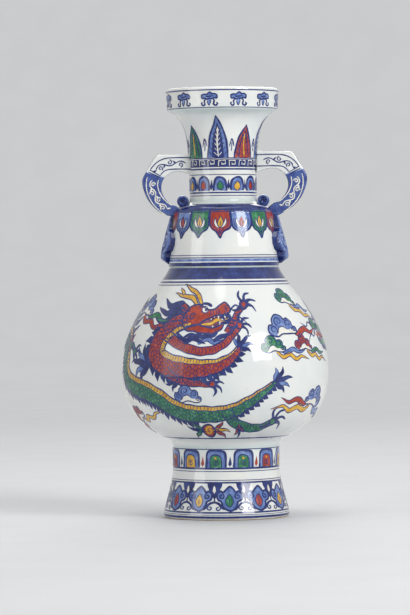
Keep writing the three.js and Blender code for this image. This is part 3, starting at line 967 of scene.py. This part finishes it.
FANGS = [[(17.2, 3.6), (16.6, 0.4), (15.6, 3.3)], [(21.4, 4.4), (20.6, 0.6), (19.4, 3.8)],
         [(18.6, -3.2), (18, 0.4), (16.8, -3.8)], [(12, 2.6), (11.4, 0.6), (10.6, 2.3)],
         [(14.4, 3.2), (13.8, 1.4), (13.2, 3)], [(13.6, -4.6), (13, -2.8), (12.2, -4.4)]]
EAR = [(-3.5, 9), (-8, 13), (-11.5, 11), (-8, 7)]


def head(art, x, y, turn, size, flip, skin):
    """A dragon's head about the hinge of its jaw, looking right unless flip is -1."""
    spot = Spot(art, x, y, turn, size, flip)
    tine = [(-9.5, 18), (-11, 21), (-14.5, 24)]
    for strands, width, colour, line in ((MANE, 4.2, "deep", 0.55), (HORNS, 2.9, "yellow", 0.65),
                                         ([tine], 1.9, "yellow", 0.5)):
        for strand in strands:
            ribbon(art, spot.put(strand), width * size, colour, line)
    for part, colour in ((SKULL, skin), (JAW, skin), (GAPE, "plum")):
        spot.fill(colour, part)
    for part in (SKULL, JAW):
        spot.line("ink", part, 1.0, closed=True)
    spot.line("red" if skin != "red" else "yellow", TONGUE_OUT, 1.9, (0.3, 0.5))
    for fang in FANGS:
        spot.fill("white", fang)
    # Eye, brow, nostril and the curl of the jaw.
    spot.fill("white", circle(6.6, 7.6, 2.1))
    spot.line("ink", circle(6.6, 7.6, 2.2), 0.65, closed=True)
    spot.fill("ink", circle(7.3, 7.4, 0.95, 10))
    spot.line("ink", [(2.5, 9.3), (4.5, 11.4), (8.4, 11.6), (11.4, 9.4)], 1.7)
    spot.line("ink", spiral(20.6, 8, 1.7, 1.1, 0, 1, 14), 0.6)
    spot.line("ink", spiral(-1.4, 3.4, 2.6, 1.2, 20, 1, 18), 0.8)
    # Wrinkles of the snout, tufts on the cheek, ear, beard and whiskers.
    for k in range(4):
        spot.line("detail", [(10.2 + 1.9 * k, 7.4), (11.0 + 1.9 * k, 5.4), (10.4 + 1.9 * k, 3.6)], 0.5)
    for k in range(3):
        tuft = [(-4.0, 5.0 - 2.9 * k), (-7.4, 5.4 - 3.1 * k), (-11.0, 7.6 - 3.4 * k)]
        ribbon(art, spot.put(tuft), 2.3 * size, "lime", 0.5)
    spot.fill(skin, EAR)
    spot.line("ink", EAR, 0.7, closed=True)
    spot.line("detail", [(-4.5, 9), (-9.5, 10.8)], 0.5)
    for strand in BEARD:
        ribbon(art, spot.put(strand), 2.3 * size, "deep", 0.45)
    for strand in WHISKERS:
        spot.line("ink", strand, 1.1, (0.05, 0.7))
CLOUD = [(-10.6, -1.2), (-12.2, 1.8), (-10.8, 5), (-7.8, 5.8), (-6.8, 9.4), (-3, 11.8), (1.2, 10.8), (3.2, 8.2),
         (6.4, 8.6), (9, 6.2), (8.8, 3.6), (11.4, 2.2), (11.2, -0.8), (7, -1.9), (0, -1.2), (-6, -2.6)]
CLOUD_BASE = [(-6.4, -2.2), (0, -1), (7, -1.6), (10.8, -0.6), (8.2, 1.4), (3.4, 1.2), (0.6, 3.4), (-2.8, 3.2),
              (-4.8, 0.8)]
CLOUD_LOBES = ((-8, 2.2, 3, -60, 1), (-2.4, 7.2, 3.2, 250, -1), (5.4, 5.2, 2.7, 230, -1), (8.6, 0.8, 1.6, 200, -1))
WISPS = ([(3, -2), (9, -6.2), (16, -4.4), (23, -8.2), (31, -6), (40, -9.4)],
         [(7, 0), (13, -2.4), (20, 0.4), (27, -2.6), (36, -0.4)],
         [(-4, -2), (-9, -5.6), (-15, -4.2), (-21, -7.6), (-28, -6.2)])


def cloud(art, x, y, size, turn, flip, colours, tails=(0, 1, 2)):
    """A cloud of four curled lobes over a base of another colour, and ribbons that drift from under it."""
    spot = Spot(art, x, y, turn, size, flip)
    for k in tails:
        ribbon(art, spot.put(WISPS[k]), 3.7 * size, colours[(k + 1) % len(colours)])
    spot.fill(colours[0], CLOUD, 0.9)
    spot.fill("white", CLOUD_BASE, 0.9)
    spot.line("ink", CLOUD, 1.0, closed=True)
    for px, py, radius, start, way in CLOUD_LOBES:
        spot.line("ink", spiral(px, py, radius, 1.35, start, way, 20), 0.8, (0.05, 0.3))
    spot.line("ink", [(-5.4, -0.8), (-3.4, 2.6), (0.4, 3.6), (3, 1.6)], 0.7)
    spot.line(colours[1] if colours[1] != "wash" else "deep", [(-2.6, 0.2), (0.6, 0.8), (4.4, -0.2)], 1.5)


def pearl(art, x, y, size):
    """A round pearl with a curl in it, and flames that stream to either side."""
    spot = Spot(art, x, y, 0, size)
    for turn, colours in ((4, ("red", "yellow", "red")), (176, ("green", "deep", "green"))):
        c, s = math.cos(math.radians(turn)), math.sin(math.radians(turn))
        flames(art, *spot.put([(3.4 * c, 3.0 * s)])[0], 0.9 * size, turn, colours, 3, 28)
    spot.fill("red", circle(0, 0, 4.6, 22))
    art.stroke("ink", spot.put(circle(0, 0, 4.8, 22)), 1.1, closed=True)
    art.stroke("yellow", spot.put(spiral(0.2, 0, 3.2, 1.25, 40, 1, 20)), 1.3, (0.05, 0.2))


art = Painting("belly", [*BELLY_LOW, *BELLY_HIGH[1:]], R_BELLY, 1.8, True)
for scene_x in (0.0, math.pi * R_BELLY):
    art.shift = scene_x

    # The red dragon: neck behind the head, a deep crescent, and a tail that ends in flames.
    leg(art, [(2.2, 130.0), (6.0, 135.4), (10.2, 142.4), (17, 149.6)], 5.4, "red", 42, 150, ("deep",), 1.08)
    leg(art, [(-45.4, 128.8), (-38, 124.6), (-29, 120.4), (-17, 117.8), (-5.4, 119.8), (3.6, 126.6),
              (11.6, 135.4)], 7.0, "red", 20, 0, (), 0.98)
    ribbon(art, [(-37, 129.4), (-30, 125.0), (-23, 126.4), (-14, 122.6)], 3.8, "deep")
    ribbon(art, [(-20, 123.4), (-13, 126.2), (-6, 123.4), (0.5, 126.4)], 3.4, "wash")
    ribbon(art, [(-8, 124.6), (-3, 127.6), (2.6, 129.4), (6.4, 133.6)], 2.8, "deep")
    leg(art, [(-43, 104.2), (-35, 98.8), (-23, 96.2), (-9, 95.4)], 6.2, "red", -12, -160, ("deep",), 0.98)
    flames(art, -57, 109, 1.65, 176, ("deep", "wash"), 5, 20)
    body(art, [(-28, 139.8), (-35, 138.4), (-44, 133.6), (-51.5, 125), (-52.4, 116), (-45, 110), (-32, 107.0),
               (-18.4, 106.2), (-7.0, 107.6), (1.8, 111.4), (7.0, 115.8), (10.2, 120.2)],
         [5.4, 6.2, 7.2, 7.8, 7.2, 5.8, 4.0, 1.8], "red", 6.4)
    flames(art, 9.4, 119.0, 0.95, 54, ("deep", "wash", "deep"), 5, 26)
    head(art, -24.6, 137.6, 4, 1.03, 1, "red")

    # The green dragon: its head is round on the left, and its body sweeps along under the red one.
    leg(art, [(-94, 117), (-85, 121.5), (-78, 117.5)], 5.4, "green", -30, 100, ("red",), 0.95)
    leg(art, [(1, 76), (7, 68.8), (18, 65.0), (31, 64.6), (41, 69.0)], 7.4, "green", 38, -75, ("red", "deep"),
        1.12, 0.58)
    body(art, [(-112, 130), (-102, 129.4), (-94.6, 124), (-91.6, 114.5), (-90.5, 105), (-85, 97.4), (-75, 93.4),
               (-63, 90.4), (-51, 85.2), (-41, 79.0), (-30, 75.6), (-18, 74.6), (-5, 74.8), (7, 77.6), (17, 82.8),
               (27, 89.4), (36, 96.0)],
         [5.0, 6.0, 6.8, 7.0, 6.6, 6.0, 5.2, 3.8, 1.8], "green", 4.6, (-27, -3))
    flames(art, 34.4, 94.9, 1.15, 24, ("deep", "wash", "deep"), 5, 22)
    head(art, -118.0, 128.6, -2, 0.97, -1, "green")

    pearl(art, -15.5, 62.9, 0.92)
    cloud(art, 48, 130.2, 1.02, 4, 1, ("wash", "yellow", "red"), (1,))
    cloud(art, 36, 118.2, 0.80, 0, 1, ("green", "yellow", "wash"), (0, 1))
    cloud(art, 65, 119.2, 0.76, -6, 1, ("red", "yellow", "green"), (0, 1))
    cloud(art, -27.4, 84.8, 0.82, -3, 1, ("wash", "green", "yellow"), ())
    cloud(art, 78, 80.8, 0.98, 8, -1, ("wash", "yellow", "red"))
    cloud(art, -86, 145.0, 0.95, -8, 1, ("wash", "red", "green"))
    cloud(art, 64, 151.0, 0.74, -14, 1, ("green", "yellow", "wash"), (0, 1))
    cloud(art, -86, 71.5, 0.74, 20, 1, ("red", "yellow", "wash"), (0, 2))
fire(art)
rings("belly_lines", BELLY_LOW, ((56.6, 57.3),), "ink")
rings("belly_shoulder_lines", BELLY_HIGH, ((162.8, 163.3), (164.5, 165.6)), "ink")
rings("belly_shoulder_band", BELLY_HIGH, ((166.8, 174.8),), "deep")


# Painting of the handles: on either flat side and over the outer face a vine scroll in cobalt on the white top
# bar, then two cross lines, and the same scroll reserved in white on the cobalt of the limb.

class Facing(Drawing):
    """A drawing on one flat side of a handle: x runs out from the axis of the vase and y is the height."""

    def __init__(self, name, face, out, up):
        super().__init__(name, 50.0, 0.12)
        self.face, self.out, self.up = face, out, up

    def place(self, x, y, lift):
        return x + self.out, self.face * (LOOP_DEPTH / 2 + lift), y + self.up


class Strap(Drawing):
    """A drawing on the outer face of a handle: x runs along the strap from the neck, and y across it."""

    def __init__(self, name, side, out, up):
        super().__init__(name, 1.2, 0.12)
        self.way, self.out, self.up = 1 if side == "right" else -1, out, up
        self.edge = Spine(Drawing("edge"), LOOP_OUTER)
        self.loop = bpy.data.objects[f"handle_loop_{side}_glazed"]

    def place(self, x, y, lift):
        """Bent round with the strap and laid on its softened skin."""
        reach, height = self.edge.at(x)
        near = Vector((self.way * (reach + self.out), self.way * y, height + self.up))
        skin, normal = self.loop.closest_point_on_mesh(near * MM)[1:3]
        spot = skin / MM + normal * lift
        return self.way * spot.x, self.way * spot.y, spot.z


FLAT_TURN, OUTER_TURN = 32.0, 35.9
RAIL, RAIL_STEPS = 4.0, 24
VINE_PITCH, VINE_SWAY, VINE_STEPS = 6.6, 1.5, 40
LEAF_CURL = [(-0.8, 0.4), (0.2, 1.6), (1.8, 2.1), (1.2, 0.9), (0.4, 0.1)]
for side, (out, up) in LOOP_SET.items():
    films = {}
    strap = Strap(f"handle_{side}_outer", side, out, up)
    for art, middle, turn_point in (
            (Facing(f"handle_{side}_front", -1, out, up), LOOP_MIDDLE, FLAT_TURN),
            (Facing(f"handle_{side}_back", 1, out, up), LOOP_MIDDLE, FLAT_TURN),
            (strap, [(0, 0), (strap.edge.length, 0)], OUTER_TURN)):
        vine = Spine(art, middle, 1.0)
        # The two border lines of each part, and the cross lines where the white bar turns into the blue limb.
        for sign in (-1, 1):
            for start, end, coat in ((0.5, turn_point - 2.6, "ink"),
                                     (turn_point + 1.6, vine.length - 1.6, "white")):
                run = (start + (end - start) * k / RAIL_STEPS for k in range(RAIL_STEPS + 1))
                border = [vine.at(along, sign * RAIL) for along in run]
                art.stroke(coat, border, 0.75 if coat == "ink" else 0.65, (0.03, 0.06), smooth=False)
        for along in (turn_point - 2.6, turn_point - 1.2):
            art.stroke("ink", [vine.at(along, -4.4), vine.at(along, 4.4)], 0.65, BLUNT)
        # The swaying stem, with a curl in every bend and a leaf at every crossing.
        for start, end, coat in ((5.4, turn_point - 3.8, "ink"), (turn_point + 2.8, vine.length - 3.4, "white")):
            count = round((end - start) / VINE_PITCH)
            pitch = (end - start) / count
            stem = [vine.at(start + (end - start) * k / VINE_STEPS,
                            VINE_SWAY * math.sin(math.pi * count * k / VINE_STEPS)) for k in range(VINE_STEPS + 1)]
            art.stroke(coat, stem, 0.8, (0.06, 0.1), smooth=False)
            for n in range(count):
                sway = (-1, 1)[n % 2]
                centre = start + pitch * (n + 0.5)
                curl = [vine.at(centre + px, sway + py) for px, py in spiral(0, 0, 1.7, 1.25, 90 * sway, sway, 18)]
                art.stroke(coat, curl, 0.75, (0.05, 0.3))
                art.shape(coat, [vine.at(centre + pitch / 2 + px, -sway * py) for px, py in LEAF_CURL])
        for coat in list(art.coats):
            films.setdefault(coat, []).append(art.film(coat, -0.08, COATS[coat][0]))
    for coat, pieces in films.items():
        piece = choose(*pieces)
        bpy.ops.object.join()
        turn_out()
        piece.name = f"handle_{side}_{coat}"
        finish(to_side(piece, side), *COATS[coat][1:])


# Painting of the collar: a cloud collar of pointed pendants hangs from a dark band on its shoulder, and a cobalt
# band runs over the seam at its foot.

collar_art = Painting("collar", COLLAR_SIDE, 37.0, 2.0)
PENDANT = [(0, 195.6), (1.4, 198), (3.2, 200.2), (5.4, 201.4), (6.9, 203.4), (7.4, 206), (7.45, 210),
           (7.45, 214.2), (0, 214.2)]
BUD = mirrored([(0, 202.8), (1.5, 204), (2, 206), (1.3, 208.2), (0, 210.6)])
for i, spot, gap in collar_art.round_the_vase(15, -3.5):
    # A pendant with a line inside its edge, a lily bud between two leaves, and a stroke in each notch.
    spot.fill(("red", "wash", "green")[i % 3], mirrored(PENDANT))
    spot.line("ink", mirrored(PENDANT[-2::-1]), 1.3, BLUNT)
    inner = [(px * 0.74, 206 + (py - 206) * 0.74) for px, py in PENDANT[-3::-1]]
    spot.line("detail", mirrored(inner), 0.5, (0.05, 0.05))
    spot.fill(("yellow", "red", "yellow")[i % 3], BUD)
    spot.line("detail", BUD, 0.6, closed=True)
    spot.line("detail", [(0, 203.4), (0, 207.6)], 0.45)
    for side in (-1, 1):
        leaf = [(side * 0.6, 202.4), (side * 3, 203.6), (side * 4.2, 206.4), (side * 3.4, 209.4),
                (side * 2.7, 206.6)]
        spot.fill("white", leaf, 0.7)
        spot.line("detail", leaf, 0.45, closed=True)
    spot.line("detail", [(0, 198.8), (0, 202.2)], 0.6)
    gap.fill("deep", mirrored([(0, 203.6), (0.8, 205.6), (0.4, 211), (0, 213.6)]))
fire(collar_art)
rings("collar_top_band", COLLAR_SIDE, ((214.0, 219.3),), "deep")
rings("collar_lines", COLLAR_SIDE, ((213.2, 213.8), (183.2, 183.7), (181.4, 182.1)), "ink")
rings("collar_foot_wash", COLLAR_SIDE, ((179.2, 181.0),), "wash")
rings("collar_foot_band", COLLAR_SIDE, ((175.9, 178.5),), "deep")


# Painting of the neck: plantain leaves, tall ones in cobalt and short ones in red and green, stand on a key fret
# above the handles, and small arches hang below it.

neck_art = Painting("neck", [*NECK_SIDE, *CUP_SIDE[1:]], 24.0, 1.3)
LEAF_FOOT, TALL_TOP, SHORT_TOP = 251.4, 280.0, 273.8
LEAF = [(7.2, 0), (7.0, 0.16), (5.9, 0.40), (3.7, 0.66), (1.6, 0.86)]
for i, spot, gap in neck_art.round_the_vase(8, -8):
    # LEAF is half a leaf, in millimetres across and shares of its rise. It holds a narrower leaf, a midrib and
    # six pairs of veins, and two strokes of a bud stand between it and the next.
    tall = i % 2 == 0
    top = TALL_TOP if tall else SHORT_TOP
    rise = top - LEAF_FOOT
    outline = mirrored([*[(px, LEAF_FOOT + t * rise) for px, t in LEAF], (0, top)])
    spot.fill("wash" if tall else ("red", "green")[i // 2 % 2], outline)
    spot.line("ink", outline, 1.25, BLUNT, smooth=False)
    core = mirrored([*[(px * 0.56, LEAF_FOOT + t * rise * 0.82) for px, t in LEAF], (0, LEAF_FOOT + rise * 0.84)])
    if tall:
        spot.fill("deep", core)
    spot.line("ink", core, 0.7, BLUNT, smooth=False)
    spot.line("white" if tall else "yellow", [(0, 252), (0, LEAF_FOOT + rise * 0.74)], 0.9)
    for k in range(6):
        low = 253.0 + k * rise * 0.115
        reach = 6.6 * (1 - 0.145 * k)
        for side in (-1, 1):
            vein = [(side * 0.62 * reach, low), (side * 0.8 * reach, low + 1), (side * 0.96 * reach, low + 2.6)]
            spot.line("detail", vein, 0.45)
            spot.line("white" if tall else "detail", [(side * 0.3, low), (side * 0.45 * reach, low + 2.2)], 0.4)
    gap.line("ink", [(-1.6, 259), (0, 264.5), (1.6, 259)], 0.8, (0.2, 0.2))
    gap.line("ink", [(0, 256), (0, 262)], 0.6)
FRET = [(-3, 245.6), (-3, 249.4), (1.6, 249.4), (1.6, 246.9), (-0.9, 246.9), (-0.9, 248.1)]
for _, spot, _ in neck_art.round_the_vase(20, 0):
    spot.line("white", FRET, 0.7, BLUNT, smooth=False)
ARCH = mirrored([(-4.6, 228.4), (-4.5, 232.6), (-3.4, 236.4), (0, 238)])
ARCH_BUD = mirrored([(0, 228.8), (1.9, 230), (2.3, 232.2), (1.2, 234), (0, 235.2)])
for i, spot, gap in neck_art.round_the_vase(12, -35):
    spot.fill("wash", ARCH)
    spot.line("ink", ARCH, 1.5, BLUNT)
    spot.fill(("red", "green", "yellow")[i % 3], ARCH_BUD)
    spot.line("detail", ARCH_BUD, 0.6, closed=True)
    gap.fill("ink", mirrored([(0, 229), (1.1, 231), (0.5, 234), (0, 236.4)]))
fire(neck_art)
rings("neck_lines", NECK_SIDE, ((226.6, 227.6), (224.8, 225.3), (239.4, 239.9), (242.9, 244), (250.6, 251.4)),
      "ink", 128)
rings("neck_fret_band", NECK_SIDE, ((244.8, 250.2),), "deep", 128)


# Painting of the mouth: twelve small ruyi sprays in cobalt alone, between thin lines.

mouth_art = Painting("mouth", CUP_SIDE, 39.2, 2.0)
BAR = mirrored([(0, 292), (1.6, 291.4), (3, 292.2), (4.9, 291.9), (5.2, 294.2), (3.4, 295), (1.8, 294.9),
                (0, 296.2)])
for _, spot, _ in mouth_art.round_the_vase(12, -13):
    # A lobed bar on top, a drop under it, and two curled legs.
    spot.fill("wash", BAR, 0.8)
    spot.line("ink", BAR, 1.05, closed=True)
    spot.line("ink", [(-2.6, 293.6), (0, 293.2), (2.6, 293.6)], 0.9)
    spot.fill("wash", mirrored([(0, 287.2), (1.3, 288.8), (1.5, 290.2), (0.8, 291.6), (0, 292.2)]))
    spot.line("ink", [(-1.4, 290.4), (0, 287.2), (1.4, 290.4)], 0.6)
    for side in (-1, 1):
        spot.line("ink", [(side * 2.2, 292), (side * 3.4, 290), (side * 3, 287.8), (side * 4.8, 286.9),
                          (side * 5.6, 288.4), (side * 4.6, 289.2)], 1.15)
fire(mouth_art)
rings("mouth_lines", CUP_SIDE, ((285.5, 286), (297.4, 298.2)), "ink", 160)


# Base: two plain rings of cobalt on the glazed underside of the floor, inside the foot, and no mark.

BASE = Z_FOOT + TONGUE
for n, (near, far) in enumerate(((17, 17.7), (19, 19.5))):
    ring = thrown(f"base_ring_{n}", [(near, BASE - 0.06), (far, BASE - 0.06), (far, BASE + 0.05),
                                     (near, BASE + 0.05)], 96)
    finish(ring, INK, "cobalt_painting")


# Studio: a plain pale floor that sweeps up behind the vase on every side, soft lamps, and the camera of the
# photograph, whose long lens looks down by less than a degree and is rolled a little to the right.

FLOOR_EDGE = 2600
SWEEP = 900
WALL, WALL_TOP = FLOOR_EDGE + SWEEP, 2600
PAPER_DEPTH = 8
floor_line = [(0, 0), (800, 0), (1600, 0), *bezier((FLOOR_EDGE, 0), (FLOOR_EDGE + SWEEP * 0.55, 0),
                                                  (WALL, SWEEP * 0.45), (WALL, SWEEP), 24), (WALL, WALL_TOP)]
sweep = thrown("studio_sweep", [*[(r, z - PAPER_DEPTH) for r, z in reversed(floor_line)], *floor_line], 96)


def looked_at(owner):
    """1 for the rays that show a backdrop, straight on or mirrored in the glaze, and 0 for those that light."""
    rays = add(owner, "LightPath", out="Is Camera Ray")
    for kind in ("Is Glossy Ray", "Is Transmission Ray"):
        rays = add(owner, "Math", {"operation": "MAXIMUM"}, {0: rays, 1: add(owner, "LightPath", out=kind)})
    return rays


# Matt paper, pale grey with a faint mottle. Round the vase it is lit as it is, and between 0.6 m and 1.7 m out it
# goes over, for the eye alone, to one plain level, so that it is neither dim at the back nor white by the lamps.
LIT_WITHIN, PLAIN_BEYOND, PLAIN_LEVEL = 0.6, 1.7, 0.82
paper = new_material("pale_paper")
place = add(paper, "TexCoord", out="Object")
mottle = add(paper, "TexNoise", {"Scale": 1 / (60 * MM)}, {"Vector": place})
mottle = add(paper, "ValToRGB", {"stops": ((0.3, "#dbdcdd"), (0.7, "#dedfe0"))}, {0: mottle})
far = add(paper, "VectorMath", {"operation": "LENGTH"}, {0: place}, "Value")
far = add(paper, "MapRange", {"From Min": LIT_WITHIN, "From Max": PLAIN_BEYOND}, {0: far})
plain = add(paper, "Math", {"operation": "MULTIPLY"}, {0: far, 1: looked_at(paper)})
lit = add(paper, "BsdfPrincipled", {"Roughness": 0.85}, {"Base Color": mottle})
level = add(paper, "Emission", {"Strength": PLAIN_LEVEL}, {"Color": mottle})
shader = add(paper, "MixShader", links={0: plain, 1: lit, 2: level})
add(paper, "OutputMaterial", links={0: shader})
sweep.data.materials.append(paper)


MIDDLE = (0, 0, 0.15)


def softbox(name, place, width, height, power):
    """A soft rectangular lamp that looks at the middle of the vase."""
    lamp = bpy.data.objects.new(name, bpy.data.lights.new(name, "AREA"))
    lamp.data.shape = "RECTANGLE"
    lamp.data.size, lamp.data.size_y = width, height
    lamp.data.energy = power
    lamp.location = place
    lamp.rotation_euler = (Vector(MIDDLE) - Vector(place)).to_track_quat("-Z", "Y").to_euler()
    bpy.context.scene.collection.objects.link(lamp)


softbox("key_softbox", (1.15, -1.25, 0.95), 0.7, 0.9, 20)
softbox("fill_softbox", (-1.5, -0.9, 0.5), 0.8, 1.1, 5.5)
softbox("top_softbox", (-0.1, 0.1, 1.7), 1.1, 1.1, 9)
softbox("back_softbox", (0.15, 1.7, 1.15), 1.1, 0.8, 9)

# A pale room: what is seen of it, also in the glaze, is brighter than the light that it gives.
ROOM_LIGHT, ROOM_SEEN = 0.36, 0.85
world = bpy.data.worlds.new("pale_room")
bpy.context.scene.world = world
world.use_nodes = True
world.node_tree.nodes.clear()
strength = add(world, "MapRange", {"To Min": ROOM_LIGHT, "To Max": ROOM_SEEN}, {0: looked_at(world)})
room = add(world, "Background", {"Color": (1, 1, 1, 1)}, {"Strength": strength})
add(world, "OutputWorld", links={0: room})
bpy.context.scene.view_settings.view_transform = "Standard"

# The lens and the place come from the outline: one pixel is 0.7026 mm at the axis of the vase, and the rim and
# the foot are seen from 3 degrees below and 4 degrees above.
FRAME_HEIGHT = 615
FOCAL_PX = 3440
DISTANCE = 2.417
EYE = 0.1733
AXIS_RIGHT_PX = 19.4
EYE_LINE_PX = 37.5
ROLL = math.radians(0.65)
SENSOR = 36
camera = bpy.data.objects.new("camera", bpy.data.cameras.new("camera"))
camera.data.sensor_width = SENSOR
camera.data.lens = SENSOR * FOCAL_PX / FRAME_HEIGHT
look = Vector((-AXIS_RIGHT_PX / FOCAL_PX, 1, -EYE_LINE_PX / FOCAL_PX)).normalized()
turn = look.to_track_quat("-Z", "Y").to_matrix().to_4x4()
camera.matrix_world = Matrix.Translation((0, -DISTANCE, EYE)) @ turn @ Matrix.Rotation(-ROLL, 4, "Z")
bpy.context.scene.collection.objects.link(camera)
bpy.context.scene.camera = camera
